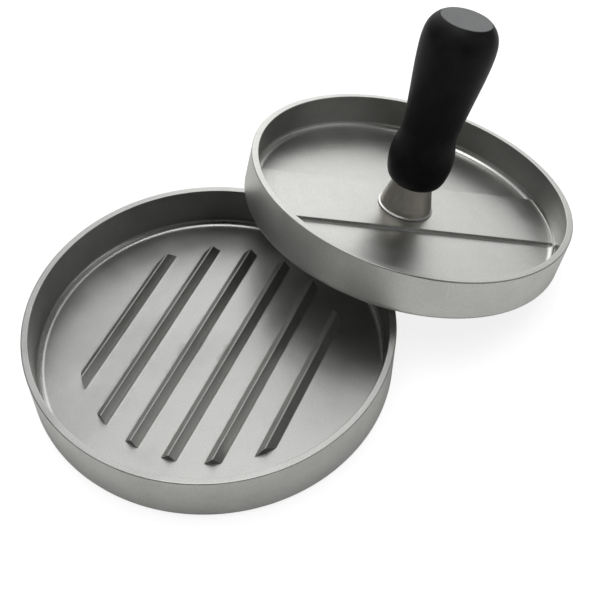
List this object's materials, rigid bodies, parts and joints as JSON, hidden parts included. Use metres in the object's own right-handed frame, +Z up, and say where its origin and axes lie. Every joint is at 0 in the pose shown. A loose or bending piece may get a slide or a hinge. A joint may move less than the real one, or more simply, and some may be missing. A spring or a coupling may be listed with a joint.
{
  "type": "patty press",
  "caption": "Hand press for round patties: a shallow ribbed metal dish and a ribbed plate with an upright handle that drops into it, shown with the plate leaning on the dish.",
  "frame": {"origin": "centre of the dish's underside, on the table", "axes": "+Z up along the dish's axis; the dish's ribs run along Y; the press rests on the dish's rim towards +X +Y, with its handle leaning outwards"},
  "size_m": [0.1578, 0.1919, 0.0903],
  "materials": {
    "cast_aluminium": "satin, fine cast grain",
    "cast_aluminium_plate": "satin, fine cast grain",
    "satin_collar": "turned satin, warm tone",
    "black_plastic": "satin black, moulded",
    "steel": "plain steel",
    "pin_steel": "hardened steel",
    "brass": "turned brass"
  },
  "bodies": {
    "dish": {"base_dish": "cast_aluminium"},
    "pin": {"stud_pin": "pin_steel"},
    "press": {"press_plate": "cast_aluminium_plate", "collar": "satin_collar", "handle_grip": "black_plastic", "handle_stud": "steel", "grip_insert": "brass"}
  },
  "joints": [
    {"name": "press_swing", "type": "hinge", "parent": "dish", "child": "pin", "pos_m": [0.02002, 0.03725, 0.0216], "axis": [0.8809, -0.4734, 0], "range_deg": [0, 185.55]},
    {"name": "press_level", "type": "hinge", "parent": "pin", "child": "press", "pos_m": [0.04012, 0.07466, 0.023], "axis": [0.8832, -0.4688, 0.0165], "range_deg": [-169.32, 0.3]}
  ],
  "couplings": [
    {"joint": "press_level", "follows": "press_swing", "ratio": -0.91091}
  ]
}
